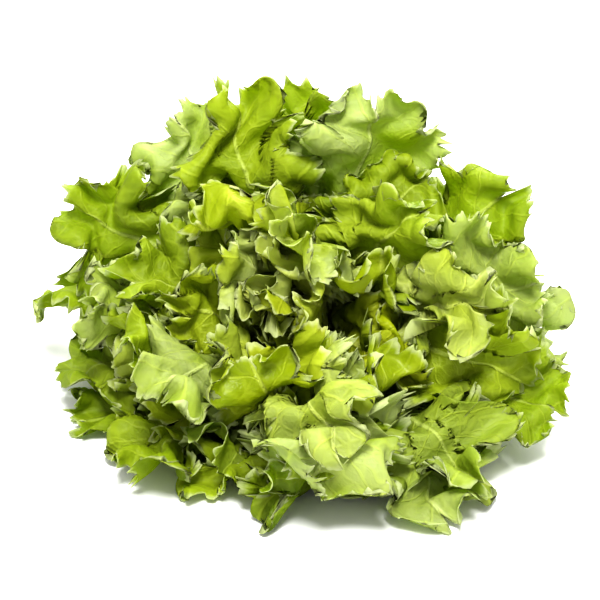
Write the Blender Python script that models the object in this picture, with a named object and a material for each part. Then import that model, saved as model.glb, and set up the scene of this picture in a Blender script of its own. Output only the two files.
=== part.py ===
"""A head of broad-leaved endive (escarole), lying on its side with its open heart to the front.

The leaves grow from a short stem in a golden-angle spiral, the youngest in the middle. Every leaf
lies on one of a family of nested cups around the stem's axis, so that no two leaves meet.
Metres, +Z up. The surface that the head lies on is z = 0, and the heart faces -Y.
"""

import math

import bmesh
import bpy
import numpy as np

# The head
LEAF_COUNT = 56
GOLDEN_ANGLE = math.radians(137.508)
FIRST_AZIMUTH = math.radians(3)
YAW = math.radians(22)
PITCH = math.radians(27)
STEM_HEIGHT = 0.026  # of the cut stem's centre above the surface

# The stem that the leaves grow from
STEM_RADIUS = 0.021
STEM_LENGTH = 0.014  # from the cut face to where the lowest leaf grows
STEM_DOME = 0.034  # height of the part that carries the leaves
YOUNGEST_TURN = math.radians(5.4)  # how far down the dome the youngest leaf grows
STEM_SIDES = 20
CUT_BEVEL = 0.0015
LEAF_GAP = 0.0020  # between the stem's skin and a leaf's end

# Leaves, from the youngest to the oldest
LENGTH = (0.042, 0.180)
HALF_WIDTH = (0.016, 0.043)
LENGTH_GROWTH, WIDTH_GROWTH = 0.44, 0.5
BASE_THICKNESS = (0.0008, 0.0030)  # of the midrib, where it grows from the stem
BLADE_THICKNESS = (0.0006, 0.0009)
RIB_TAPER = 1.3
RIB_WIDTH = 0.35  # as a share of the half width
WIDEST = 0.66  # share of the length at which the blade is widest
PETIOLE = 0.28  # width at the stem, as a share of the widest
TIP = 0.50  # width at the blunt tip, as a share of the widest
MOST_WRAP = math.radians(68)  # the most of the axis that a half leaf goes round
ROWS = 9
COLUMNS = (-1.0, -0.45, 0.0, 0.45, 1.0)

# How far the oldest leaves lean away from the axis
LEAN_YOUNG = math.radians(2)
LEAN_START = math.radians(50)
LEAN_END = math.radians(92)
OPENING = 0.78
LEAN_OVER = 0.11  # metres of leaf over which the lean grows
CUP_STEPS = 48  # steps in which a leaf's course is added up
LEAN_UNDER = math.radians(68)  # on the underside, before the leaf meets the surface
UNDER_START, UNDER_END = 0.012, 0.062  # where along the leaf it turns forward there
UNDER_SPREAD = 0.05  # how far up the sides this reaches, as a sine
REACH_RIGHT, REACH_UP = 0.09, -0.15  # longer leaves on the right, shorter on top
UNEVEN, UNEVEN_TURN = 0.10, 1.9  # how far lengths differ from leaf to leaf
# How much longer or shorter than that each of the oldest leaves is, from the youngest of them
OLDEST_REACH = (
    0.74, 1.00, 1.00, 1.00, 1.00, 1.06, 1.07, 0.86, 1.05, 1.10,
    0.86, 1.13, 0.98, 0.80, 1.07, 1.00, 0.97, 0.88, 0.83,
)

# Where the lower leaves lie on the surface and on each other
LANDS_BELOW = math.radians(-10)  # a leaf that grows higher up the side than this never comes down
STACK_STEP = 0.0022
STACK_WITHIN = math.radians(75)  # leaves that grow closer together than this lie on each other
SOFT_LANDING = 0.003
PRESSED_WITHIN = 0.0002  # a leaf's underside is flat where it is this close to what it lies on

# Slow waves that bend neighbouring leaves together: direction across, wave number, phase
WAVES = (
    ((0.30, 0.52, 0.80), 62.0, 0.4),
    ((0.74, -0.60, 0.30), 71.0, 2.1),
    ((-0.55, 0.25, 0.79), 83.0, 4.4),
    ((0.66, 0.62, -0.42), 55.0, 5.3),
)
WAVE_HEIGHT = 0.0030
STILL_WITHIN, MOVING_BEYOND = 0.035, 0.10  # distance from the stem over which the waves set in

GROUPS = ("heart_leaf", "inner_leaf", "middle_leaf", "outer_leaf")
COLOURS = {
    "heart_leaf": (0.62, 0.66, 0.20),
    "inner_leaf": (0.50, 0.62, 0.14),
    "middle_leaf": (0.38, 0.56, 0.09),
    "outer_leaf": (0.27, 0.48, 0.06),
    "crown": (0.80, 0.80, 0.62),
}


def mix(ends, share):
    return ends[0] + (ends[1] - ends[0]) * share


def smooth(x):
    x = np.clip(x, 0.0, 1.0)
    return x * x * (3 - 2 * x)


def head_axes():
    """The stem's axis, the direction to its right and the direction above it."""
    axis = np.array(
        [-math.sin(YAW) * math.cos(PITCH), -math.cos(YAW) * math.cos(PITCH), math.sin(PITCH)]
    )
    right = np.array([math.cos(YAW), -math.sin(YAW), 0.0])
    return axis, right, np.cross(axis, right)


def stem_point(age):
    """(radius, height) of the place on the stem's dome where a leaf of this age grows."""
    turn = mix((YOUNGEST_TURN, math.pi / 2), age)
    return STEM_RADIUS * math.sin(turn), STEM_LENGTH + STEM_DOME * math.cos(turn)


def lean(age, along, azimuth):
    """Angle from the axis of a leaf of this age, this many metres from its start."""
    free = LEAN_START + (LEAN_END - LEAN_START) * smooth(along / LEAN_OVER)
    turned = smooth((along - UNDER_START) / (UNDER_END - UNDER_START))
    under = LEAN_UNDER + (PITCH - LEAN_UNDER) * turned
    below = smooth(UNDER_SPREAD - np.sin(azimuth))
    oldest = free + (under - free) * below
    return LEAN_YOUNG + (oldest - LEAN_YOUNG) * age**OPENING


def cup_points(age, along, azimuth):
    """Points of the nested cup of this age, in the head's own (radius, height), by summing steps."""
    share = (np.arange(CUP_STEPS) + 0.5) / CUP_STEPS
    shape = np.broadcast(along, azimuth).shape
    s = np.broadcast_to(along, shape)[..., None] * share
    angle = lean(age, s, np.broadcast_to(azimuth, shape)[..., None])
    step = np.broadcast_to(along, shape) / CUP_STEPS
    radius, height = stem_point(age)
    return radius + np.sin(angle).sum(-1) * step, height + np.cos(angle).sum(-1) * step


def waved(points, centre):
    """The points moved by the slow waves, which are still near the stem."""
    far = np.linalg.norm(points - centre, axis=-1)
    amount = smooth((far - STILL_WITHIN) / (MOVING_BEYOND - STILL_WITHIN)) * WAVE_HEIGHT
    moved = points.copy()
    for n, (across, number, phase) in enumerate(WAVES):
        along = np.roll(np.array(across), 1)
        wave = np.sin(points @ np.array(across) * number + phase)
        moved += (amount * wave)[..., None] * along
    return moved


def leaf_azimuth(rank):
    return FIRST_AZIMUTH + rank * GOLDEN_ANGLE


def stack_layers():
    """For each leaf, how many others lie under it where it comes down to the surface."""
    layers = [0] * LEAF_COUNT
    for rank in reversed(range(LEAF_COUNT)):
        for older in range(rank + 1, LEAF_COUNT):
            apart = leaf_azimuth(older) - leaf_azimuth(rank)
            beside = math.cos(apart) > math.cos(STACK_WITHIN)
            if beside and math.sin(leaf_azimuth(older)) < math.sin(LANDS_BELOW):
                layers[rank] = max(layers[rank], layers[older] + 1)
    return layers


def landed(points, floor):
    """The points kept above the floor, which they meet softly."""
    depth = points[..., 2] - floor
    soft = floor + (depth + SOFT_LANDING) ** 2 / (4 * SOFT_LANDING)
    height = np.where(depth > SOFT_LANDING, points[..., 2], np.where(depth < -SOFT_LANDING, floor, soft))
    result = points.copy()
    result[..., 2] = height
    return result


def outline(share):
    """Half width of a leaf along its length, as a share of the widest."""
    growing = PETIOLE + (1 - PETIOLE) * smooth(share / WIDEST)
    past = np.clip((share - WIDEST) / (1 - WIDEST), 0, 1)
    return growing * np.sqrt(1 - (1 - TIP**2) * past**2)


def leaf_surface(rank, across, share, floor):
    """Points of a leaf's inner face. across runs from -1 to 1, and share from 0 at the stem to 1."""
    age = (rank + 0.5) / LEAF_COUNT
    middle = leaf_azimuth(rank)
    reach = 1 + REACH_RIGHT * math.cos(middle) + REACH_UP * math.sin(middle)
    reach += UNEVEN * math.sin(rank * UNEVEN_TURN)
    older = rank - (LEAF_COUNT - len(OLDEST_REACH))
    reach *= OLDEST_REACH[older] if older >= 0 else 1.0
    length = mix(LENGTH, age**LENGTH_GROWTH) * reach
    width = mix(HALF_WIDTH, age**WIDTH_GROWTH) * outline(share)
    along = LEAF_GAP + share * length
    radius, _ = cup_points(age, along, middle)
    azimuth = middle + across * np.minimum(width / radius, MOST_WRAP)
    radius, height = cup_points(age, along, azimuth)
    axis, right, up = head_axes()
    centre = np.array([0.0, 0.0, STEM_HEIGHT])
    points = centre + height[..., None] * axis
    points = points + (radius * np.cos(azimuth))[..., None] * right
    points = points + (radius * np.sin(azimuth))[..., None] * up
    return landed(waved(points, centre), floor)


def leaf_normals(points):
    """Unit normals of a grid of points, towards the leaf's outer face."""
    down_leaf = np.gradient(points, axis=0)
    over_leaf = np.gradient(points, axis=1)
    normal = np.cross(over_leaf, down_leaf)
    return normal / np.linalg.norm(normal, axis=-1, keepdims=True)


def leaf_mesh(name, rank, underside):
    """A closed leaf: its inner face, and an outer face that stands off it, most at the midrib."""
    age = (rank + 0.5) / LEAF_COUNT
    share, across = np.meshgrid(np.linspace(0, 1, ROWS), COLUMNS, indexing="ij")
    blade = mix(BLADE_THICKNESS, age)
    inner = leaf_surface(rank, across, share, underside + blade)
    rib = (mix(BASE_THICKNESS, age) - blade) * (1 - share) ** RIB_TAPER
    rib = rib * np.exp(-((across / RIB_WIDTH) ** 2))
    outer = inner + leaf_normals(inner) * (blade + rib)[..., None]
    pressed = inner[..., 2] < underside + blade + PRESSED_WITHIN
    outer[..., 2] = np.where(pressed, underside, np.maximum(outer[..., 2], underside))
    mesh = bmesh.new()
    sides = []
    for face in (inner, outer):
        sides.append([[mesh.verts.new(point) for point in row] for row in face])
    inside, outside = sides
    last_row, last_column = ROWS - 1, len(COLUMNS) - 1
    for i in range(last_row):
        for j in range(last_column):
            for side, order in ((inside, 1), (outside, -1)):
                near, far = (side[i][j], side[i + 1][j + 1])
                mesh.faces.new((near, side[i + 1][j], far)[::order])
                mesh.faces.new((near, far, side[i][j + 1])[::order])
    rim = [(i, 0) for i in range(last_row)] + [(last_row, j) for j in range(last_column)]
    rim += [(i, last_column) for i in range(last_row, 0, -1)] + [(0, j) for j in range(last_column, 0, -1)]
    for (i, j), (m, n) in zip(rim, rim[1:] + rim[:1]):
        mesh.faces.new((outside[i][j], outside[m][n], inside[m][n], inside[i][j]))
    data = bpy.data.meshes.new(name)
    mesh.to_mesh(data)
    mesh.free()
    data.shade_smooth()
    return data


def crown_mesh(name):
    """The cut stem: a flat cut face, a short bevelled collar, and the dome that the leaves grow from."""
    profile = [(0.0, 0.0), (STEM_RADIUS - CUT_BEVEL, 0.0), (STEM_RADIUS, CUT_BEVEL)]
    profile += [stem_point(age) for age in (1.0, 0.8, 0.6, 0.4, 0.2)]
    profile.append((0.0, STEM_LENGTH + STEM_DOME))
    axis, right, up = head_axes()
    centre = np.array([0.0, 0.0, STEM_HEIGHT])
    mesh = bmesh.new()
    verts = [mesh.verts.new(centre + radius * right + height * axis) for radius, height in profile]
    edges = [mesh.edges.new(pair) for pair in zip(verts, verts[1:])]
    bmesh.ops.spin(
        mesh, geom=verts + edges, cent=centre, axis=axis, angle=2 * math.pi,
        steps=STEM_SIDES, use_merge=True, use_duplicate=False,
    )
    bmesh.ops.remove_doubles(mesh, verts=mesh.verts, dist=1e-5)
    bmesh.ops.recalc_face_normals(mesh, faces=mesh.faces)
    data = bpy.data.meshes.new(name)
    mesh.to_mesh(data)
    mesh.free()
    data.shade_smooth()
    data.set_sharp_from_angle(angle=math.radians(40))
    return data


def plain_material(name):
    material = bpy.data.materials.new(name)
    material.use_nodes = True
    shader = material.node_tree.nodes["Principled BSDF"]
    shader.inputs["Base Color"].default_value = (*COLOURS[name], 1.0)
    shader.inputs["Roughness"].default_value = 0.5
    return material


def add_object(name, data, material):
    data.materials.append(material)
    obj = bpy.data.objects.new(name, data)
    bpy.context.scene.collection.objects.link(obj)
    return obj


def put_origin_under(objects):
    """Moves the whole head so that the origin is in the middle of the surface it covers."""
    corners = np.array([v.co for obj in objects for v in obj.data.vertices])
    low, high = corners.min(0), corners.max(0)
    shift = (-(low[0] + high[0]) / 2, -(low[1] + high[1]) / 2, -low[2])
    for obj in objects:
        obj.location = shift


def main():
    for obj in list(bpy.data.objects):
        bpy.data.objects.remove(obj)
    materials = {name: plain_material(name) for name in COLOURS}
    objects = [add_object("crown", crown_mesh("crown"), materials["crown"])]
    per_group = LEAF_COUNT // len(GROUPS)
    for rank, layer in enumerate(stack_layers()):
        group = GROUPS[rank // per_group]
        name = f"{group}_{rank % per_group + 1:02d}"
        objects.append(add_object(name, leaf_mesh(name, rank, layer * STACK_STEP), materials[group]))
    put_origin_under(objects)


main()
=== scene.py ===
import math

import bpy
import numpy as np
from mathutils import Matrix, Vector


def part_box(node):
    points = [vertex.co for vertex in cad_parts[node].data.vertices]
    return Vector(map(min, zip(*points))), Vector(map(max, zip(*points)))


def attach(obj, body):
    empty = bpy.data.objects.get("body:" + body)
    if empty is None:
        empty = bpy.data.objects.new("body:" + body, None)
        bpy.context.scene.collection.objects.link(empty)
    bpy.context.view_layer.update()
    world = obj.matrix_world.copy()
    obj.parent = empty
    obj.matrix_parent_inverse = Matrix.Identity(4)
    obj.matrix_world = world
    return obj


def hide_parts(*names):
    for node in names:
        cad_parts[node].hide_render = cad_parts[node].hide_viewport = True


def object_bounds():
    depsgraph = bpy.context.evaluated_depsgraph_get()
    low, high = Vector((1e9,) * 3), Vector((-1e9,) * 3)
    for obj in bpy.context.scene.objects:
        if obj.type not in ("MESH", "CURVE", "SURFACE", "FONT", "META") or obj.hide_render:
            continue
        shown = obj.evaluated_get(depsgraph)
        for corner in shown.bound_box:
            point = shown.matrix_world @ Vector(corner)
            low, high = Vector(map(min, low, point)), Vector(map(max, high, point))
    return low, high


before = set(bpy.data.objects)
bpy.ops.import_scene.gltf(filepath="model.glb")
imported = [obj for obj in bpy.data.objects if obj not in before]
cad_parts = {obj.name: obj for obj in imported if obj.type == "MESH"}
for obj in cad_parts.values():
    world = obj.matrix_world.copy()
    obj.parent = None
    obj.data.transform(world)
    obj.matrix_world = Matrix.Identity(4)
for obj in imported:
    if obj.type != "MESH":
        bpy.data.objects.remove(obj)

# A head of broad-leaved endive, lying on its side with its open heart to the front. Every leaf is
# grown by a simulation: it starts on the cup that its solid follows, its margin then grows faster
# than its middle, and so it buckles into ruffles that push against the leaves beside it. The grown
# leaf gets a toothed margin, a midrib, veins and a thickness, and stands for its solid.
# Metres, +Z up. The surface that the head lies on is z = 0, and the heart faces -Y.

CAD_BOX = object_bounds()

# The view: the camera stands in front of the heart, a little above it
AIM = Vector((0.006, 0.0, 0.086))
DISTANCE, ELEVATION = 0.86, math.radians(25)
LENS, SENSOR = 85.0, 36.0


def look_from(thing, place, target):
    """Puts a camera or light at a place and turns it towards a target."""
    thing.location = place
    thing.rotation_mode = "QUATERNION"
    thing.rotation_quaternion = (Vector(target) - Vector(place)).to_track_quat("-Z", "Y")


def make_camera():
    data = bpy.data.cameras.new("front_view")
    data.lens, data.sensor_width = LENS, SENSOR
    camera = bpy.data.objects.new("front_view", data)
    bpy.context.scene.collection.objects.link(camera)
    back = Vector((0.0, -math.cos(ELEVATION), math.sin(ELEVATION)))
    look_from(camera, AIM + back * DISTANCE, AIM)
    bpy.context.scene.camera = camera


make_camera()

# The rosette, as the solids have it
LEAF_COUNT = 56
GOLDEN_ANGLE = math.radians(137.508)
FIRST_AZIMUTH = math.radians(3)
YAW = math.radians(22)
PITCH = math.radians(27)
STEM_HEIGHT = 0.026
STEM_RADIUS = 0.021
STEM_LENGTH = 0.014
STEM_DOME = 0.034
YOUNGEST_TURN = math.radians(5.4)
STEM_SIDES, STEM_CHAMFER = 20, 0.0015
LENGTH = (0.042, 0.180)
HALF_WIDTH = (0.016, 0.043)
LENGTH_GROWTH, WIDTH_GROWTH = 0.44, 0.5
WIDEST = 0.66
PETIOLE = 0.28
TIP = 0.50
MOST_WRAP = math.radians(68)
LEAN_YOUNG = math.radians(2)
LEAN_START = math.radians(50)
LEAN_END = math.radians(92)
OPENING = 0.78
LEAN_OVER = 0.11
CUP_STEPS = 32
LEAN_UNDER = math.radians(68)
UNDER_START, UNDER_END = 0.012, 0.062
UNDER_SPREAD = 0.05
REACH_RIGHT, REACH_UP = 0.09, -0.15
UNEVEN, UNEVEN_TURN = 0.10, 1.9
OLDEST_REACH = (
    0.74, 1.00, 1.00, 1.00, 1.00, 1.06, 1.07, 0.86, 1.05, 1.10,
    0.86, 1.13, 0.98, 0.80, 1.07, 1.00, 0.97, 0.88, 0.83,
)
LANDS_BELOW = math.radians(-10)
STACK_STEP = 0.0022
STACK_WITHIN = math.radians(75)
SOFT_LANDING = 0.003
WAVES = (
    ((0.30, 0.52, 0.80), 62.0, 0.4),
    ((0.74, -0.60, 0.30), 71.0, 2.1),
    ((-0.55, 0.25, 0.79), 83.0, 4.4),
    ((0.66, 0.62, -0.42), 55.0, 5.3),
)
WAVE_HEIGHT = 0.0030
STILL_WITHIN, MOVING_BEYOND = 0.035, 0.10
GROUPS = ("heart_leaf", "inner_leaf", "middle_leaf", "outer_leaf")
GROUP_SIZE = LEAF_COUNT // len(GROUPS)

# How the leaves grow, first in broad folds and then in ruffles along the margin. Distances are
# metres, and places along a leaf and its growth are shares of its length.
SEED = 5
INTO_STEM = 0.002
SWING, TILT, TWIST = math.radians(16), math.radians(32), math.radians(160)
CURL = (-1.0, 1.4)
CALM, LOWER_THAN = 0.9, -0.5
OPENS_OVER, CURLS_FROM, SWINGS_OVER = 0.4, 0.5, 0.5
TWISTS_FROM, TWISTS_OVER = 0.3, 0.7
LEAST_RADIUS = 0.004
OLD_CURL_LESS = 0.5
STRETCH, SHEAR, BEND = 0.9, 0.4, 0.35
EACH_END_MOVES = 0.25
SAGS_UNDER = 0.25
HELD_BASE, HELD_FROM, HELD_OVER = 0.5, 0.04, 0.24
RIB_HELD_WITHIN, RIB_HELD_LESS = 0.3, 0.8
GROWTH_FROM, GROWTH_OVER = 0.20, 0.32
GROWTH_UNEVEN, GROWTH_BETWEEN = 0.5, (0.15, 1.9)
FOLDS = dict(
    rows=31, columns=17, steps=170, resting=60, growth=0.80, depth=0.024, bumps=0.008,
    coarse=(11, 6), rib=0.06, blade=0.004, early=7.0, apart=0.0065, near=0.0110, sag=0.000020,
)
RUFFLES = dict(
    rows=61, columns=31, steps=90, resting=30, growth=0.90, depth=0.012, bumps=0.002,
    coarse=(17, 9), rib=0.05, blade=0.002, early=1.0, apart=0.0040, near=0.0070, sag=0.000010,
)
PAIRS_EVERY = 8
STEPS_APART = 4
FREE_BEYOND = 0.2
PROUD = 0.007
HELD_INSIDE = 0.15
MARGIN_BLUR = 0.006
# Some leaves' own stand, by rank: degrees of swing, tilt, curl and twist
POSED = {
    18: (0, 6, 30, 40), 31: (6, 0, 20, -35), 34: (-4, 8, 70, 85), 37: (6, 10, 60, 30),
    39: (8, 2, 30, 0), 40: (15, -2, 10, 30), 42: (0, 4, 35, 25), 43: (9, 0, -10, 0),
    44: (8, 2, -30, 40), 45: (7, -4, -10, 100), 46: (-4, 0, 25, 20), 47: (6, 2, 30, -15),
    48: (12, 0, 12, 25), 50: (2, 0, 10, 12), 51: (6, 0, 45, 80), 52: (11, 0, 0, -15),
    53: (18, 4, 20, -25), 55: (0, 4, 30, 20),
}
# How many times as long as its solid a leaf is, by rank
LONGER = {
    18: 1.25, 31: 1.10, 34: 0.86, 39: 1.10, 40: 1.09, 42: 0.95, 43: 1.18, 44: 1.12, 46: 0.95, 47: 0.97,
    50: 0.98, 51: 1.08, 52: 1.04, 54: 0.94,
}
# The lowest height of a leaf's inner face, and of the outer face under it
LOWEST, LOWEST_OUTER = 0.0008, 0.0001


def mix(ends, share):
    return ends[0] + (ends[1] - ends[0]) * share


def smooth(x):
    x = np.clip(x, 0.0, 1.0)
    return x * x * (3 - 2 * x)


def unit(vectors):
    return vectors / np.maximum(np.linalg.norm(vectors, axis=-1, keepdims=True), 1e-9)


# The cups that the leaves start on


def head_axes():
    """The stem's axis, the direction to its right and the direction above it."""
    axis = np.array(
        [-math.sin(YAW) * math.cos(PITCH), -math.cos(YAW) * math.cos(PITCH), math.sin(PITCH)]
    )
    right = np.array([math.cos(YAW), -math.sin(YAW), 0.0])
    return axis, right, np.cross(axis, right)


def head_point(height, radius, azimuth):
    """A point of the head, from its height along the axis and its polar place round it."""
    axis, right, up = head_axes()
    height, radius, azimuth = np.broadcast_arrays(height, radius, azimuth)
    point = np.array([0.0, 0.0, STEM_HEIGHT]) + height[..., None] * axis
    point = point + (radius * np.cos(azimuth))[..., None] * right
    return point + (radius * np.sin(azimuth))[..., None] * up


def stem_point(age):
    """(radius, height) of the place on the stem's dome where a leaf of this age grows."""
    turn = mix((YOUNGEST_TURN, math.pi / 2), age)
    return STEM_RADIUS * np.sin(turn), STEM_LENGTH + STEM_DOME * np.cos(turn)


def origin_shift():
    """From the head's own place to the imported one, by the lowest corner of the stem's box."""
    profile = [(STEM_RADIUS, STEM_CHAMFER), (STEM_RADIUS - STEM_CHAMFER, 0.0)]
    profile += [stem_point(age) for age in (1.0, 0.8, 0.6, 0.4, 0.2)] + [(0.0, STEM_LENGTH + STEM_DOME)]
    turns = np.arange(STEM_SIDES) * 2 * math.pi / STEM_SIDES
    ring = np.concatenate([head_point(height, radius, turns) for radius, height in profile])
    return np.array(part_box("crown")[0]) - ring.min(0)


def lean(age, along, azimuth):
    """Angle from the axis of a leaf of this age, this many metres from its start."""
    free = LEAN_START + (LEAN_END - LEAN_START) * smooth(along / LEAN_OVER)
    turned = smooth((along - UNDER_START) / (UNDER_END - UNDER_START))
    under = LEAN_UNDER + (PITCH - LEAN_UNDER) * turned
    below = smooth(UNDER_SPREAD - np.sin(azimuth))
    oldest = free + (under - free) * below
    return LEAN_YOUNG + (oldest - LEAN_YOUNG) * age**OPENING


def cup_points(age, along, azimuth, length, tilt, curl):
    """Points of the nested cup of this age, opened by tilt, with its far part curled outwards."""
    along, azimuth = np.broadcast_arrays(along, azimuth)
    places = along[..., None] * (np.arange(CUP_STEPS) + 0.5) / CUP_STEPS
    angle = lean(age, np.maximum(places, 0.0), azimuth[..., None])
    angle = angle + tilt * smooth(places / length / OPENS_OVER)
    angle = angle + curl * smooth(places / length / CURLS_FROM - 1)
    radius, height = stem_point(age)
    step = along / CUP_STEPS
    return radius + np.sin(angle).sum(-1) * step, height + np.cos(angle).sum(-1) * step


def waved(points, centre):
    """The points moved by the slow waves, which are still near the stem."""
    far = np.linalg.norm(points - centre, axis=-1)
    amount = smooth((far - STILL_WITHIN) / (MOVING_BEYOND - STILL_WITHIN)) * WAVE_HEIGHT
    moved = points.copy()
    for across, number, phase in WAVES:
        wave = np.sin(points @ np.array(across) * number + phase)
        moved += (amount * wave)[..., None] * np.roll(np.array(across), 1)
    return moved


def leaf_azimuth(rank):
    return FIRST_AZIMUTH + rank * GOLDEN_ANGLE


def stack_layers():
    """For each leaf, how many others lie under it where it comes down to the surface."""
    layers = [0] * LEAF_COUNT
    for rank in reversed(range(LEAF_COUNT)):
        for older in range(rank + 1, LEAF_COUNT):
            apart = leaf_azimuth(older) - leaf_azimuth(rank)
            beside = math.cos(apart) > math.cos(STACK_WITHIN)
            if beside and math.sin(leaf_azimuth(older)) < math.sin(LANDS_BELOW):
                layers[rank] = max(layers[rank], layers[older] + 1)
    return layers


def landed(points, floor):
    """The points kept above the floor, which they meet softly."""
    depth = points[..., 2] - floor
    soft = floor + (depth + SOFT_LANDING) ** 2 / (4 * SOFT_LANDING)
    height = np.where(depth > SOFT_LANDING, points[..., 2], np.where(depth < -SOFT_LANDING, floor, soft))
    result = points.copy()
    result[..., 2] = height
    return result


def outline(share):
    """Half width of a leaf along its length, as a share of the widest."""
    growing = PETIOLE + (1 - PETIOLE) * smooth(share / WIDEST)
    past = np.clip((share - WIDEST) / (1 - WIDEST), 0, 1)
    return growing * np.sqrt(1 - (1 - TIP**2) * past**2)


def leaf_length(rank):
    middle = leaf_azimuth(rank)
    reach = 1 + REACH_RIGHT * math.cos(middle) + REACH_UP * math.sin(middle)
    reach += UNEVEN * math.sin(rank * UNEVEN_TURN)
    older = rank - (LEAF_COUNT - len(OLDEST_REACH))
    reach *= OLDEST_REACH[older] if older >= 0 else 1.0
    reach *= LONGER.get(rank, 1.0)
    return mix(LENGTH, leaf_age(rank) ** LENGTH_GROWTH) * reach


def leaf_age(rank):
    return (rank + 0.5) / LEAF_COUNT


def leaf_width(rank, share):
    return mix(HALF_WIDTH, leaf_age(rank) ** WIDTH_GROWTH) * outline(share)


def guide_surface(rank, share, across, floor, habit):
    """The grid of points that a leaf follows, from its end in the stem to its tip."""
    swing, tilt, curl, twist = habit
    age, length = leaf_age(rank), leaf_length(rank)
    middle = leaf_azimuth(rank) + swing * smooth(share / SWINGS_OVER)
    along = share * (length + INTO_STEM) - INTO_STEM
    width = leaf_width(rank, share)
    radius, _ = cup_points(age, along, middle, length, tilt, curl)
    azimuth = middle + across * np.minimum(width / np.maximum(radius, LEAST_RADIUS), MOST_WRAP)
    radius, height = cup_points(age, along, azimuth, length, tilt, curl)
    points = waved(head_point(height, radius, azimuth), np.array([0.0, 0.0, STEM_HEIGHT]))
    roll = across * width * np.sin(twist * smooth((share - TWISTS_FROM) / TWISTS_OVER))
    return landed(points + grid_normals(points) * roll[..., None], floor)


def grid_normals(points):
    """Unit normals of a grid of points, away from the head's axis."""
    across, over = np.gradient(points, axis=-2), np.gradient(points, axis=-3)
    return unit(np.cross(over, across))


# The growth simulation. All leaves are one array: leaf, row from stem to tip, column across, xyz


def column_places(count):
    """Places across a leaf, from -1 to 1, closer together towards the margins."""
    t = np.linspace(-1, 1, count)
    return t * (1.25 - 0.25 * t * t)


def resampled(grids, rows, columns):
    """Grids of values or points, as smooth surfaces through them have it on a finer grid."""
    over = spline_weights(np.linspace(0, 1, rows), grids.shape[1])
    across = spline_weights(np.linspace(0, 1, columns), grids.shape[2])
    return np.einsum("ri,lij...,cj->lrc...", over, grids, across, optimize=True)


def spline_taps(places, count):
    """The first of the four control points that act at each place from 0 to 1, and their weights."""
    t = np.clip(places, 0, 1) * (count - 1)
    first = np.minimum(np.floor(t).astype(int), count - 2)
    f = t - first
    rising = (-3 * f**3 + 3 * f**2 + 3 * f + 1) / 6
    return first, ((1 - f) ** 3 / 6, (3 * f**3 - 6 * f**2 + 4) / 6, rising, f**3 / 6)


def spline_weights(places, count):
    """Weights of a cubic B-spline's control points at places from 0 to 1, one row for each place."""
    first, taps = spline_taps(places, count)
    weights = np.zeros((len(places), count + 2))
    for offset, tap in enumerate(taps):
        weights[np.arange(len(places)), first + offset] += tap
    weights[:, 1] += 2 * weights[:, 0]
    weights[:, 2] -= weights[:, 0]
    weights[:, -2] += 2 * weights[:, -1]
    weights[:, -3] -= weights[:, -1]
    return weights[:, 1:-1]


def step_apart(points, rows, columns):
    """Two views of the grid, whose points are this many rows and columns apart."""
    first = points[:, : points.shape[1] - rows]
    second = points[:, rows:]
    if columns > 0:
        return first[:, :, :-columns], second[:, :, columns:]
    if columns < 0:
        return first[:, :, -columns:], second[:, :, :columns]
    return first, second


def pull_together(points, rows, columns, rest, stiffness):
    """Moves points that are rows and columns apart in the grid towards their rest distance."""
    first, second = step_apart(points, rows, columns)
    between = second - first
    distance = np.sqrt(np.einsum("...k,...k", between, between)) + 1e-9
    push = between * (EACH_END_MOVES * stiffness * (1 - rest / distance))[..., None]
    first += push
    second -= push


def near_pairs(points, leaf, grid_place, reach):
    """Pairs of points closer than reach, on different leaves or well apart on one leaf."""
    cell = np.floor(points / reach).astype(np.int64)
    cell -= cell.min(0) - 1
    size = cell.max(0) + 2
    key = (cell[:, 0] * size[1] + cell[:, 1]) * size[2] + cell[:, 2]
    order = np.argsort(key, kind="stable")
    ordered = key[order]
    firsts, seconds = [], []
    for x, y, z in [(0, 0, 0)] + [
        (x, y, z) for x in (0, 1) for y in (-1, 0, 1) for z in (-1, 0, 1) if (x, y, z) > (0, 0, 0)
    ]:
        other = ordered + (x * size[1] + y) * size[2] + z
        start, end = np.searchsorted(ordered, other, "left"), np.searchsorted(ordered, other, "right")
        if (x, y, z) == (0, 0, 0):
            start = np.arange(len(ordered)) + 1
        count = np.maximum(end - start, 0)
        first = np.repeat(np.arange(len(ordered)), count)
        second = np.arange(count.sum()) - np.repeat(np.cumsum(count) - count, count)
        second = second + np.repeat(start, count)
        first, second = order[first], order[second]
        gap = points[second] - points[first]
        keep = np.einsum("ij,ij->i", gap, gap) < reach**2
        first, second = first[keep], second[keep]
        apart = np.abs(grid_place[first] - grid_place[second]).max(1)
        keep = (leaf[first] != leaf[second]) | (apart > STEPS_APART)
        firsts.append(first[keep])
        seconds.append(second[keep])
    return np.concatenate(firsts), np.concatenate(seconds)


def keep_apart(points, pairs, room):
    """Pushes apart the pairs of points that are closer than the room of both."""
    first, second = pairs
    between = points[second] - points[first]
    distance = np.sqrt(np.einsum("ij,ij->i", between, between)) + 1e-9
    wanted = room[first] + room[second]
    close = distance < wanted
    first, second, between, distance = first[close], second[close], between[close], distance[close]
    push = between * (EACH_END_MOVES * (wanted[close] / distance - 1))[:, None]
    for axis in range(3):
        points[:, axis] += np.bincount(second, push[:, axis], len(points))
        points[:, axis] -= np.bincount(first, push[:, axis], len(points))


def flat_grids(rows, columns):
    """Each leaf's grid laid flat, with its distances from the side margins and from the tip."""
    share = np.linspace(0, 1, rows)[:, None]
    across = column_places(columns)[None, :]
    x = np.array([across * leaf_width(rank, share) for rank in range(LEAF_COUNT)])
    y = np.array([share * leaf_length(rank) + 0 * across for rank in range(LEAF_COUNT)])
    return x, y, np.abs(x[:, :, -1:]) - np.abs(x), y[:, -1:] - y


def to_margin(to_side, to_tip):
    """Distance from the nearer of a side margin and the tip, rounded where they meet."""
    return -MARGIN_BLUR * np.log(np.exp(-to_side / MARGIN_BLUR) + np.exp(-to_tip / MARGIN_BLUR))


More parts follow.
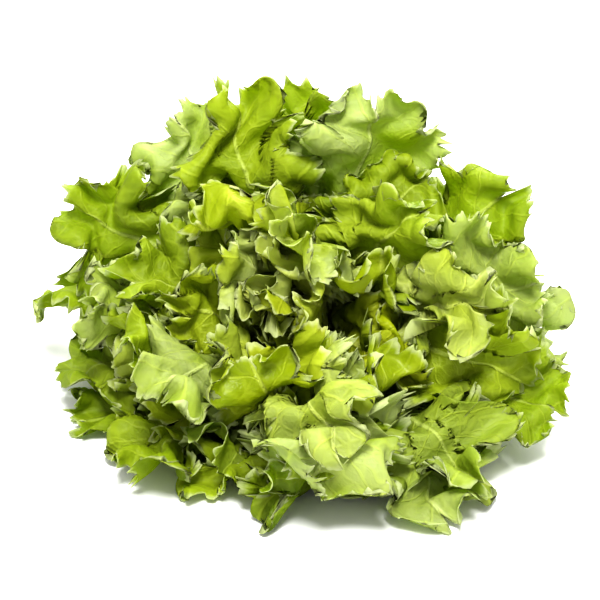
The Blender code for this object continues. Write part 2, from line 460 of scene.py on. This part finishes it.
def grow(points, guide, goal, earlier, stage, rng):
    """One stage of growth from points, held near a guide that turns into its goal.

    earlier is the growth of the stages before, as a share of the length of each piece of leaf.
    """
    rows, columns = stage["rows"], stage["columns"]
    share = np.linspace(0, 1, rows)[:, None]
    across = column_places(columns)[None, :]
    x, y, to_side, to_tip = flat_grids(rows, columns)
    flat = np.stack([x, y], -1)
    size = y[:, -1:] / LENGTH[1]
    coarse_rows, coarse_columns = stage["coarse"]
    uneven = rng.normal(size=(LEAF_COUNT, coarse_rows // 2 + 2, coarse_columns // 2 + 2))
    uneven = np.clip(1 + GROWTH_UNEVEN * resampled(uneven, rows, columns), *GROWTH_BETWEEN)
    depth = stage["depth"] * np.sqrt(size)
    growth = np.exp(-((np.maximum(to_margin(to_side, to_tip), 0) / depth) ** 2))
    growth = stage["growth"] * growth * smooth((share - GROWTH_FROM) / GROWTH_OVER) * uneven
    bumps = rng.normal(size=(LEAF_COUNT, coarse_rows, coarse_columns))
    bumps = resampled(bumps, rows, columns) * stage["bumps"] * np.minimum(growth * 3, 1) * np.sqrt(size)
    points = (points + grid_normals(points) * bumps[..., None]).astype(np.float32)
    guide, goal = guide.astype(np.float32), goal.astype(np.float32)
    links = []
    for over, beside, stiffness in (
        (1, 0, STRETCH), (0, 1, STRETCH), (1, 1, SHEAR), (1, -1, SHEAR), (2, 0, BEND), (0, 2, BEND),
    ):
        first, second = step_apart(flat, over, beside)
        rest = np.linalg.norm(second - first, axis=-1)
        rest, extra = (
            (rest * sum(step_apart(part, over, beside)) / 2).astype(np.float32)
            for part in (1 + earlier, growth)
        )
        links.append((over, beside, stiffness, rest, extra))
    base = HELD_BASE * (1 - smooth((share - HELD_FROM) / HELD_OVER))
    held = np.maximum(base, stage["blade"] + 0 * across)
    rib = stage["rib"] * np.exp(-((across / RIB_HELD_WITHIN) ** 2)) * (1 - RIB_HELD_LESS * share)
    held = np.maximum(held, rib)
    held = held[None, :, :, None].astype(np.float32)
    number = np.arange(points.size // 3)
    leaf = number // (rows * columns)
    grid_place = np.stack([number // columns % rows, number % columns], -1)
    loose = np.flatnonzero(np.broadcast_to(share > FREE_BEYOND, points.shape[:3]).ravel())
    leaf, grid_place = leaf[loose], grid_place[loose]
    room = np.full(len(loose), stage["apart"] / 2, np.float32)
    start = points.reshape(-1, 3)[loose]
    first, second = near_pairs(start, leaf, grid_place, stage["apart"])
    gap = np.linalg.norm(start[second] - start[first], axis=1) / 2
    np.minimum.at(room, first, gap)
    np.minimum.at(room, second, gap)
    low = np.array(CAD_BOX[0], np.float32) - PROUD
    high = np.array(CAD_BOX[1], np.float32) + PROUD
    floor = np.array([-np.inf, -np.inf, LOWEST], np.float32)
    cloud = points.reshape(-1, 3)
    for step in range(stage["steps"] + stage["resting"]):
        grown = min(1.0, step / stage["steps"])
        if step % PAIRS_EVERY == 0:
            pairs = near_pairs(cloud[loose], leaf, grid_place, stage["near"])
        for over, beside, stiffness, rest, extra in links:
            pull_together(points, over, beside, rest + grown * extra, stiffness)
        points[..., 2] -= stage["sag"] * (1 - np.minimum(held[..., 0], SAGS_UNDER) / SAGS_UNDER)
        wanted = guide + (goal - guide) * smooth(grown * 2)
        points += np.minimum(held * mix((stage["early"], 1.0), grown), HELD_BASE) * (wanted - points)
        part = cloud[loose]
        keep_apart(part, pairs, room)
        cloud[loose] = part
        points += (np.clip(points, low, high) - points) * HELD_INSIDE
        np.maximum(points, floor, out=points)
    return points.astype(float), earlier + growth


def grow_leaves():
    """Every leaf's grown grid of points, in the frame's own place."""
    rng = np.random.default_rng(SEED)
    shift = origin_shift()
    layers = stack_layers()
    rows, columns = FOLDS["rows"], FOLDS["columns"]
    share = np.linspace(0, 1, rows)[:, None]
    across = column_places(columns)[None, :]
    nested, varied = [], []
    for rank in range(LEAF_COUNT):
        calm = CALM if math.sin(leaf_azimuth(rank)) < LOWER_THAN else 1.0
        swing, tilt, twist = rng.uniform(-1, 1, 3) * np.array([SWING, TILT, TWIST]) * calm
        curl = rng.uniform(*CURL) * calm * (1 - OLD_CURL_LESS * leaf_age(rank))
        habit = swing, tilt, curl, twist
        if rank in POSED:
            habit = [math.radians(angle) for angle in POSED[rank]]
        floor = layers[rank] * STACK_STEP + LOWEST
        nested.append(guide_surface(rank, share, across, floor, (0, 0, 0, 0)) + shift)
        varied.append(guide_surface(rank, share, across, floor, habit) + shift)
    nested, varied = np.array(nested), np.array(varied)
    ungrown = np.zeros(nested.shape[:3])
    points, growth = grow(nested, nested, varied, ungrown, FOLDS, rng)
    points = resampled(points, RUFFLES["rows"], RUFFLES["columns"])
    growth = resampled(growth, RUFFLES["rows"], RUFFLES["columns"])
    points, _ = grow(points, points, points, growth, RUFFLES, rng)
    return points


# The fine leaves, cut from the grown surfaces. Distances are metres on a leaf of full size, and a
# pair is the two ends of a range. A grid is the rows and columns of points of a group's leaves.
FINE_GRID = {
    "heart_leaf": (51, 27), "inner_leaf": (77, 31), "middle_leaf": (93, 35), "outer_leaf": (101, 39),
}
FINER_MARGIN = 4
PETIOLE_ROWS, PETIOLE_SHARE = 0.10, 0.24
MARGIN_BAND, MOST_MARGIN, MARGIN_TURN = 0.0048, 0.45, 0.100
TIP_ROUNDING, ROUNDING_REACH = 0.014, 0.020
SIDE_OR_TIP = 0.008
BARE_UNTIL, BARE_FADE = 0.16, 0.2
LOBE_PERIOD, LOBE_DEPTH, LOBE_REACH = (0.018, 0.050), (0.004, 0.024), 0.042
LOBE_POINT, LOBE_SHARPNESS = 0.5, 1.8
MOSTLY_NARROW = 1.4
LOBE_LIFT, LIFT_REACH = 0.0042, 0.018
TOOTH_PERIOD, TOOTH_DEPTH, TOOTH_POINT = (0.0030, 0.0074), (0.0030, 0.0068), 0.30
DEEPEST_TOOTH = 0.92
DENT_PERIOD, DENT_DEPTH = (0.0016, 0.0034), (0.0004, 0.0014)
FRILL_PERIOD, FRILL_HEIGHT, FRILL_REACH = 0.0125, 0.0016, 0.008
FRILL_WANDER, WANDER_EACH = 2.2, 0.03
FRILL_EVEN, FRILL_SWELL, SWELL_EACH = 0.55, 0.45, 0.02
BLISTER, BLISTER_EACH, BLISTER_FROM_RIB = 0.00045, 0.011, 0.006
CREASE, CREASE_EACH, CREASE_FROM_RIB = 0.0016, 0.013, 0.010
BLADE_THICKNESS, MARGIN_THINNER, THIN_WITHIN = 0.00040, 0.45, 0.003
RIB_THICKNESS, RIB_TAPER = (0.0006, 0.0030), 1.3
RIB_WIDTH = (0.0050, 0.0013)
GROOVE = 0.0006
SLOPE_STEP = 0.0008
MARGIN_VALUES, COLUMN_TABLE = 60, 401
NUMBER_STEP = 0.371


def notched(rng, place, period, depth, point, sharpness):
    """Depth of the notches of a margin at places along it, and how far each part between is lifted.

    The range of depths is for the widest period, and narrower notches are less deep.
    """
    count = int(MOST_MARGIN / period[0])
    steps = period[0] + (period[1] - period[0]) * rng.uniform(size=count) ** MOSTLY_NARROW
    ends = np.cumsum(steps)
    depths, lifts = rng.uniform(*depth, count) * steps / period[1], rng.uniform(-1, 1, count)
    index = np.clip(np.searchsorted(ends, place), 0, count - 1)
    fraction = np.clip(1 - (ends[index] - place) / steps[index], 0, 1)
    height = np.where(fraction < point, fraction / point, (1 - fraction) / (1 - point))
    return depths[index] * (1 - height) ** sharpness, lifts[index] * np.sin(math.pi * fraction)


def along_margin(rng, place, each):
    """A slow random value along a margin."""
    values = rng.normal(size=MARGIN_VALUES)
    return np.interp(place / each, np.arange(MARGIN_VALUES), values)


def sample(grid, over, across):
    """A smooth surface's points, or values, at places from 0 to 1 over and across its grid."""
    around = [(1, 1), (1, 1)] + [(0, 0)] * (grid.ndim - 2)
    control = np.pad(grid, around, mode="reflect", reflect_type="odd")
    row, row_weights = spline_taps(over, grid.shape[0])
    column, column_weights = spline_taps(across, grid.shape[1])
    result = np.zeros(over.shape + grid.shape[2:])
    for i, row_weight in enumerate(row_weights):
        for j, column_weight in enumerate(column_weights):
            weight = row_weight * column_weight
            result += control[row + i, column + j] * weight.reshape(weight.shape + (1,) * (grid.ndim - 2))
    return result


def flat_leaf(rank, rows, columns):
    """Flat places of a leaf's inner grid, and then of its margin, which is finer: x, y, margin or not."""
    length = leaf_length(rank)
    band = MARGIN_BAND * math.sqrt(length / LENGTH[1])
    t = np.linspace(0, 1, rows - 1)
    petiole = PETIOLE_SHARE * t / PETIOLE_ROWS
    blade = PETIOLE_SHARE + (1 - PETIOLE_SHARE) * (t - PETIOLE_ROWS) / (1 - PETIOLE_ROWS)
    inner_share = np.where(t < PETIOLE_ROWS, petiole, blade) * (1 - band / length)
    inner_x = column_places(columns - 2)[None, :] * (leaf_width(rank, inner_share)[:, None] - band)
    inner_y = inner_share[:, None] * length + 0 * inner_x
    share = np.append(inner_share, 1.0)
    side = np.arange((rows - 1) * FINER_MARGIN + 1) / FINER_MARGIN
    side_share = np.interp(side, np.arange(rows), share)
    side_x, side_y = leaf_width(rank, side_share), side_share * length
    tip_columns = np.concatenate([[-side_x[-1]], inner_x[-1], [side_x[-1]]])
    tip = np.arange((columns - 1) * FINER_MARGIN + 1) / FINER_MARGIN
    tip_x = np.interp(tip, np.arange(columns), tip_columns)
    margin_x = np.concatenate([-side_x[:-1], tip_x, side_x[-2::-1]])
    margin_y = np.concatenate([side_y[:-1], np.full(len(tip_x), length), side_y[-2::-1]])
    x = np.concatenate([inner_x.ravel(), margin_x])
    y = np.concatenate([inner_y.ravel(), margin_y])
    return x, y, np.arange(len(x)) >= inner_x.size


def fine_leaf(rng, rank, grid, rows, columns):
    """A leaf's fine points on its inner face, normals, thickness and its flat measures."""
    x, y, on_margin = flat_leaf(rank, rows, columns)
    length, age = leaf_length(rank), leaf_age(rank)
    size = length / LENGTH[1]
    share = y / length
    to_side, to_tip = leaf_width(rank, share) - np.abs(x), length - y
    edge = np.maximum(np.minimum(to_margin(to_side, to_tip), np.minimum(to_side, to_tip)), 0)
    round_margin = np.abs(np.arctan2(x, y - 0.5 * length)) * MARGIN_TURN * size
    lobes, lift, teeth, frill = (np.zeros_like(x) for _ in range(4))
    for side in (x < 0, x >= 0):
        place = round_margin[side]
        lobes[side], lift[side] = notched(
            rng, place, LOBE_PERIOD, LOBE_DEPTH, LOBE_POINT, LOBE_SHARPNESS
        )
        teeth[side], _ = notched(rng, place, TOOTH_PERIOD, TOOTH_DEPTH, TOOTH_POINT, 1.0)
        teeth[side] += notched(rng, place, DENT_PERIOD, DENT_DEPTH, 0.5, 1.0)[0]
        wander = FRILL_WANDER * along_margin(rng, place, WANDER_EACH)
        phase = place / FRILL_PERIOD * 2 * math.pi + wander
        swell = FRILL_SWELL * along_margin(rng, place, SWELL_EACH)
        frill[side] = np.sin(phase) * (FRILL_EVEN + swell)
    leafy = smooth((share - BARE_UNTIL) / BARE_FADE)
    inwards = lobes * size * (1 - smooth(edge / (LOBE_REACH * size)))
    inwards = inwards + on_margin * np.minimum(teeth, DEEPEST_TOOTH * MARGIN_BAND) * math.sqrt(size)
    inwards = inwards * leafy
    from_side, from_tip = np.exp(-to_side / SIDE_OR_TIP), np.exp(-to_tip / SIDE_OR_TIP)
    both = np.hypot(from_side, from_tip) + 1e-9
    corner = TIP_ROUNDING * size * (x / leaf_width(rank, share)) ** 2
    corner = corner * np.exp(-to_tip / (ROUNDING_REACH * size))
    x = x - np.sign(x) * inwards * from_side / both
    y = y - inwards * from_tip / both - corner
    share = y / length

    def surface(x, y):
        share = np.clip(y / length, 0, 1)
        across = np.clip(x / leaf_width(rank, share), -1, 1)
        column = np.interp(across, column_places(COLUMN_TABLE), np.linspace(0, 1, COLUMN_TABLE))
        return sample(grid, share, column)

    points = surface(x, y)
    over = surface(x, y + SLOPE_STEP) - surface(x, y - SLOPE_STEP)
    beside = surface(x + SLOPE_STEP, y) - surface(x - SLOPE_STEP, y)
    normals = unit(np.cross(over, beside))

    def uneven(each):
        """Slow random heights over the leaf, with one value for every this many metres."""
        half = HALF_WIDTH[1]
        values = rng.normal(size=(int(length / each) + 3, int(2 * half / each) + 3))
        return sample(values, share, x / half / 2 + 0.5)

    rise = uneven(BLISTER_EACH) * BLISTER * leafy * smooth(np.abs(x) / BLISTER_FROM_RIB)
    rise = rise + np.abs(uneven(CREASE_EACH)) * CREASE * leafy * smooth(np.abs(x) / CREASE_FROM_RIB)
    rise = rise + frill * FRILL_HEIGHT * math.sqrt(size) * np.exp(-edge / FRILL_REACH) * leafy
    rise = rise + lift * LOBE_LIFT * size * (1 - smooth(edge / LIFT_REACH)) * leafy
    rib_half = mix(RIB_WIDTH, share) * (0.5 + 0.5 * size)
    rib = np.exp(-((x / rib_half) ** 2))
    rise = rise + GROOVE * rib * (1 - share)
    points = points + normals * rise[:, None]
    points[:, 2] = np.maximum(points[:, 2], LOWEST)
    thickness = BLADE_THICKNESS * mix((MARGIN_THINNER, 1.0), smooth(edge / THIN_WITHIN))
    thickness = thickness + mix(RIB_THICKNESS, age) * np.maximum(1 - share, 0) ** RIB_TAPER * rib
    edge = np.where(on_margin, 0.0, edge)
    return points, normals, thickness, dict(x=x, y=y, edge=edge, share=share)


def triangles_of(rows, columns):
    """A leaf's triangles on one face, and the loop of points round it."""
    inner = np.arange((rows - 1) * (columns - 2)).reshape(rows - 1, columns - 2)
    segments = 2 * (rows - 1) + columns - 1
    ring = inner.size + np.arange(segments * FINER_MARGIN + 1)
    corners = inner[:-1, :-1], inner[:-1, 1:], inner[1:, 1:], inner[1:, :-1]
    low_left, low_right, high_right, high_left = (corner.ravel() for corner in corners)
    faces = [
        np.stack([low_left, low_right, high_right], -1),
        np.stack([low_left, high_right, high_left], -1),
    ]
    last = inner[-1]
    partner = np.concatenate([inner[:, 0], last[:1], last, last[-1:], inner[::-1, -1]])
    first, second = partner[:-1], partner[1:]
    start = ring[: segments * FINER_MARGIN : FINER_MARGIN]
    half = FINER_MARGIN // 2
    for step in range(FINER_MARGIN):
        near = first if step < half else second
        faces.append(np.stack([near, start + step + 1, start + step], -1))
    between = first != second
    faces.append(np.stack([first, second, start + half], -1)[between])
    return np.concatenate(faces), np.concatenate([ring, inner[0, ::-1]])


def leaf_mesh(name, points, normals, thickness, measures, rank, rows, columns):
    """A closed leaf: its inner face, its outer face and the rim between them."""
    outer = points + normals * thickness[:, None]
    outer[:, 2] = np.maximum(outer[:, 2], LOWEST_OUTER)
    shift = len(points)
    face, loop = triangles_of(rows, columns)
    after = np.roll(loop, -1)
    rim = [np.stack([loop, after, after + shift], -1), np.stack([loop, after + shift, loop + shift], -1)]
    faces = np.concatenate([face, face[:, ::-1] + shift, *rim])
    mesh = bpy.data.meshes.new(name)
    vertices = np.concatenate([points, outer])
    mesh.vertices.add(len(vertices))
    mesh.vertices.foreach_set("co", vertices.ravel().astype(np.float32))
    mesh.loops.add(faces.size)
    mesh.loops.foreach_set("vertex_index", faces.ravel().astype(np.int32))
    mesh.polygons.add(len(faces))
    mesh.polygons.foreach_set("loop_start", np.arange(0, faces.size, 3, dtype=np.int32))
    flat = mesh.uv_layers.new(name="flat")
    both = np.tile(np.stack([measures["x"], measures["y"]], -1), (2, 1))
    flat.data.foreach_set("uv", both[faces.ravel()].astype(np.float32).ravel())
    values = {key: np.tile(measures[key], 2) for key in ("edge", "share")}
    values["underside"] = np.repeat([0.0, 1.0], shift)
    values["number"] = np.full(2 * shift, rank * NUMBER_STEP)
    for key, value in values.items():
        mesh.attributes.new(key, "FLOAT", "POINT").data.foreach_set("value", value.astype(np.float32))
    mesh.update(calc_edges=True)
    # the two faces are smooth and the rim between them is not, so the margin looks as thin as it is
    mesh.polygons.foreach_set("use_smooth", np.arange(len(faces)) < 2 * len(face))
    mesh.update()
    return mesh


# Materials


class Signal:
    """A shader socket that takes part in arithmetic."""

    def __init__(self, shader, socket):
        self.shader, self.socket = shader, socket

    def math(self, operation, *others):
        return self.shader.node("ShaderNodeMath", {"operation": operation}, [self, *others])[0]

    def __add__(self, other):
        return self.math("ADD", other)

    def __sub__(self, other):
        return self.math("SUBTRACT", other)

    def __mul__(self, other):
        return self.math("MULTIPLY", other)

    def __truediv__(self, other):
        return self.math("DIVIDE", other)

    def __rsub__(self, other):
        return self * -1 + other

    __radd__, __rmul__ = __add__, __mul__

    def between(self, low, high):
        """0 below low, 1 above high, and smooth between them."""
        settings = {"interpolation_type": "SMOOTHSTEP"}
        inputs = {"Value": self, "From Min": low, "From Max": high}
        return self.shader.node("ShaderNodeMapRange", settings, inputs)[0]


class Shader:
    """A material and the nodes of its tree."""

    def __init__(self, name):
        self.material = bpy.data.materials.new(name)
        self.material.use_nodes = True
        self.tree = self.material.node_tree
        self.tree.nodes.clear()

    def node(self, kind, settings=None, inputs=None):
        """A new node with these settings and inputs. Returns its outputs."""
        node = self.tree.nodes.new(kind)
        for key, value in (settings or {}).items():
            setattr(node, key, value)
        pairs = inputs.items() if isinstance(inputs, dict) else enumerate(inputs or [])
        for key, value in pairs:
            if isinstance(value, Signal):
                self.tree.links.new(value.socket, node.inputs[key])
            elif value is not None:
                node.inputs[key].default_value = value
        return [Signal(self, output) for output in node.outputs]

    def attribute(self, name):
        return self.node("ShaderNodeAttribute", {"attribute_name": name})[2]

    def noise(self, place, scale, detail=2.0):
        inputs = {"Vector": place, "Scale": scale, "Detail": detail, "Roughness": 0.55}
        return self.node("ShaderNodeTexNoise", {}, inputs)[0]

    def net(self, place, scale):
        """Distance from the nearest line of an uneven net."""
        settings = {"feature": "DISTANCE_TO_EDGE"}
        inputs = {"Vector": place, "Scale": scale, "Randomness": 0.9}
        return self.node("ShaderNodeTexVoronoi", settings, inputs)[0]

    def blend(self, share, first, second):
        """The first colour turned into the second by a share."""
        return self.node("ShaderNodeMix", {"data_type": "RGBA"}, {0: share, 6: first, 7: second})[2]

    def surface(self, shader):
        self.node("ShaderNodeOutputMaterial", {}, [shader])
        return self.material


# A pale whitish green for the margins and for patches, partly their own paler colour and partly painted
# light (a painted sheen on the patches, painted light caught by the thin margins), and the brown of spots
# that have dried
PALE_AND_PAINTED_LIGHT, DRIED = (0.57, 0.61, 0.34, 1), (0.32, 0.19, 0.04, 1)
# Metres between the side veins and between the twigs that leave them, and cells of a net per metre
VEIN_EACH, TWIG_EACH = 0.0135, 0.0060
WIDE_NET, FINE_NET = 150.0, 480.0
VEIN_SLANT, VEIN_BEND, TWIG_SLANT = 0.95, 3.0, 0.30
RIB_TAPERS, RIB_AT_TIP = 0.0036, 0.0005
RELIEF_DEPTH = 0.0014
LEAF_IOR = 1.40


def leaf_material(name, blade, glow, stalk, vein, light_through):
    """A leaf: blade colours, the light through it, the stalk end and the veins."""
    s = Shader(name)
    # places on the leaf laid flat, and a number that makes each leaf's pattern its own
    flat = s.node("ShaderNodeUVMap", {"uv_map": "flat"})[0]
    x, y, _ = s.node("ShaderNodeSeparateXYZ", {}, [flat])
    number, edge, share, underside = (s.attribute(key) for key in ("number", "edge", "share", "underside"))
    place = s.node("ShaderNodeCombineXYZ", {}, [x, y, number])[0]
    out = x.math("ABSOLUTE")
    wander = s.noise(place, 60.0) - 0.5
    # the midrib, and veins that leave it at a slant and branch towards the margin
    rib_half = (1 - share) * RIB_TAPERS + RIB_AT_TIP
    rib = 1 - (out / rib_half + wander * 0.8).between(0.3, 1.3)
    side = x.math("SIGN") * 0.25
    slant = (y - out * VEIN_SLANT + out * out * VEIN_BEND + wander * 0.012) / VEIN_EACH + side + number
    line = (slant.math("FRACT") - 0.5).math("ABSOLUTE")
    veins = 1 - line.between(0.015, 0.07)
    twig = (y * 0.9 - out * TWIG_SLANT + wander * 0.018) / TWIG_EACH + number * 2
    twigs = 1 - (twig.math("FRACT") - 0.5).math("ABSOLUTE").between(0.03, 0.13)
    twigs = twigs * out.between(0.004, 0.016) * 0.7
    wide_net = 1 - s.net(place, WIDE_NET).between(0.01, 0.14)
    fine_net = 1 - s.net(place, FINE_NET).between(0.0, 0.2)
    pattern = veins.math("MAXIMUM", twigs).math("MAXIMUM", wide_net * 0.55)
    pattern = pattern.math("MAXIMUM", fine_net * 0.22)
    # the colours
    broad = s.noise(place, 16.0)
    fine = s.noise(place, 60.0, 4.0)
    green = s.blend(broad.between(0.36, 0.66), blade[0], blade[1])
    green = s.blend(fine.between(0.45, 0.75) * 0.5, green, blade[2])
    # pale patches on some leaves: partly their own paler tissue, partly a painted sheen standing in for
    # soft whitish gloss
    pale = (number * 7.3).math("FRACT").between(0.45, 0.95)
    pale = pale * s.noise(place, 26.0).between(0.30, 0.60)
    green = s.blend(underside * 0.30, green, vein)
    green = s.blend(pale * 0.55, green, PALE_AND_PAINTED_LIGHT)
    green = s.blend(pattern * 0.32, green, vein)
    green = s.blend((1 - share.between(0.10, 0.50)) * 0.80, green, stalk)
    green = s.blend(rib * (1 - share * 0.8) * 0.65, green, stalk)
    # the margins made paler: partly their own pale thin edge, partly painted light standing in for light
    # that catches and shines through them
    green = s.blend((1 - edge.between(0.0003, 0.0026)) * 0.75, green, PALE_AND_PAINTED_LIGHT)
    old = s.noise(place, 30.0, 3.0).between(0.64, 0.74) * (1 - edge.between(0.0006, 0.005))
    green = s.blend(old * 0.6, green, DRIED)
    # the relief, sunken above and raised below, and level where the two faces meet
    sunken = underside * 2 - 1
    height = (pattern * 0.35 + rib * 0.5) * sunken * edge.between(0.0, 0.002)
    height = height + s.noise(place, 190.0, 3.0) * 1.1
    height = height + s.noise(place, 1400.0) * 0.12
    inputs = {"Strength": 0.9, "Distance": RELIEF_DEPTH, "Height": height}
    relief = s.node("ShaderNodeBump", {}, inputs)[0]
    rough = 0.32 + fine * 0.16 + underside * 0.12
    inputs = {"Base Color": green, "Roughness": rough, "Normal": relief, "IOR": LEAF_IOR}
    face = s.node("ShaderNodeBsdfPrincipled", {}, inputs)[0]
    through = s.node("ShaderNodeBsdfTranslucent", {}, {"Color": glow})[0]
    thinness = (1 - rib * 0.6) * (1 - pattern * 0.25) * (0.35 + share.between(0.05, 0.4) * 0.65)
    return s.surface(s.node("ShaderNodeMixShader", {}, [thinness * light_through, face, through])[0])


def stem_material():
    """The pale cut end of the stem, browned where it has dried, with a net of vessels."""
    s = Shader("cut_stem")
    place = s.node("ShaderNodeTexCoord")[3]
    patches = s.noise(place, 90.0, 4.0)
    vessels = 1 - s.net(place, 420.0).between(0.05, 0.35)
    flesh = s.blend(patches.between(0.35, 0.65), (0.50, 0.46, 0.22, 1), (0.60, 0.58, 0.32, 1))
    flesh = s.blend(vessels * 0.35, flesh, (0.34, 0.28, 0.10, 1))
    flesh = s.blend(patches.between(0.56, 0.70) * 0.6, flesh, (0.26, 0.14, 0.04, 1))
    inputs = {"Strength": 0.6, "Distance": 0.0006, "Height": patches + vessels * 0.4}
    relief = s.node("ShaderNodeBump", {}, inputs)[0]
    inputs = {"Base Color": flesh, "Roughness": patches * 0.2 + 0.45, "Normal": relief}
    return s.surface(s.node("ShaderNodeBsdfPrincipled", {}, inputs)[0])


def floor_material():
    """A plain white matt surface with a slight mottle."""
    s = Shader("pale_floor")
    mottle = s.noise(s.node("ShaderNodeTexCoord")[3], 2.0, 3.0)
    tint = s.blend(mottle, (0.90, 0.90, 0.90, 1), (0.891, 0.891, 0.891, 1))
    inputs = {"Base Color": tint, "Roughness": mottle * 0.1 + 0.55}
    return s.surface(s.node("ShaderNodeBsdfPrincipled", {}, inputs)[0])


def add_object(name, mesh, material):
    thing = bpy.data.objects.new(name, mesh)
    bpy.context.scene.collection.objects.link(thing)
    mesh.materials.append(material)
    return thing


# Each group's blade colours, the light through it, its stalk end, its veins and how much light passes
LOOKS = {
    "heart_leaf": (
        ((0.30, 0.36, 0.002, 1), (0.44, 0.49, 0.012, 1), (0.20, 0.275, 0.001, 1)),
        (0.70, 0.78, 0.002, 1), (0.62, 0.65, 0.24, 1), (0.60, 0.64, 0.07, 1), 0.46,
    ),
    "inner_leaf": (
        ((0.215, 0.28, 0.001, 1), (0.35, 0.41, 0.009, 1), (0.13, 0.21, 0.001, 1)),
        (0.64, 0.74, 0.002, 1), (0.58, 0.63, 0.24, 1), (0.54, 0.61, 0.06, 1), 0.46,
    ),
    "middle_leaf": (
        ((0.165, 0.235, 0.001, 1), (0.28, 0.35, 0.006, 1), (0.090, 0.165, 0.001, 1)),
        (0.57, 0.69, 0.002, 1), (0.54, 0.60, 0.24, 1), (0.49, 0.58, 0.05, 1), 0.45,
    ),
    "outer_leaf": (
        ((0.145, 0.21, 0.001, 1), (0.25, 0.315, 0.005, 1), (0.070, 0.14, 0.001, 1)),
        (0.53, 0.67, 0.002, 1), (0.52, 0.59, 0.24, 1), (0.46, 0.55, 0.045, 1), 0.44,
    ),
}


def make_leaves():
    grids = grow_leaves()
    looks = {}
    for group, colours in LOOKS.items():
        looks[group] = leaf_material(group.replace("leaf", "blade"), *colours)
    rng = np.random.default_rng(SEED + 1)
    for rank in range(LEAF_COUNT):
        group = GROUPS[rank // GROUP_SIZE]
        node = f"{group}_{rank % GROUP_SIZE + 1:02d}"
        leaf_parts = fine_leaf(rng, rank, grids[rank], *FINE_GRID[group])
        mesh = leaf_mesh(f"grown_{node}", *leaf_parts, rank, *FINE_GRID[group])
        leaf = add_object(f"grown_{node}", mesh, looks[group])
        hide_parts(node)
        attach(leaf, "root")


def dress_stem():
    bpy.data.objects["crown"].material_slots[0].material = stem_material()


FLOOR_HALF, FLOOR_HEIGHT = 4, -0.0002


def make_floor():
    mesh = bpy.data.meshes.new("floor")
    square = (-1, -1), (1, -1), (1, 1), (-1, 1)
    corners = [(x * FLOOR_HALF, y * FLOOR_HALF, FLOOR_HEIGHT) for x, y in square]
    mesh.from_pydata(corners, [], [(0, 1, 2, 3)])
    add_object("floor", mesh, floor_material())


WORLD_LIGHT = 0.75
# Name, place, diameter in metres and power in watts
LIGHTS = (("key", (0.0, -0.62, 1.30), 0.50, 22.5), ("back_light", (0.30, 0.9, 1.2), 0.9, 20.0))
LIT_POINT = (0.0, 0.0, 0.08)


def make_light(name, place, size, power):
    data = bpy.data.lights.new(name, "AREA")
    data.shape, data.size, data.energy = "DISK", size, power
    light = bpy.data.objects.new(name, data)
    bpy.context.scene.collection.objects.link(light)
    look_from(light, place, LIT_POINT)


def make_studio():
    world = bpy.data.worlds.new("white_room")
    bpy.context.scene.world = world
    world.use_nodes = True
    background = world.node_tree.nodes["Background"]
    background.inputs[0].default_value = (1.0, 1.0, 1.0, 1.0)
    background.inputs[1].default_value = WORLD_LIGHT
    for light in LIGHTS:
        make_light(*light)
    bpy.context.scene.view_settings.view_transform = "Standard"
    bpy.context.scene.view_settings.look = "High Contrast"


make_studio()
make_floor()
make_leaves()
dress_stem()
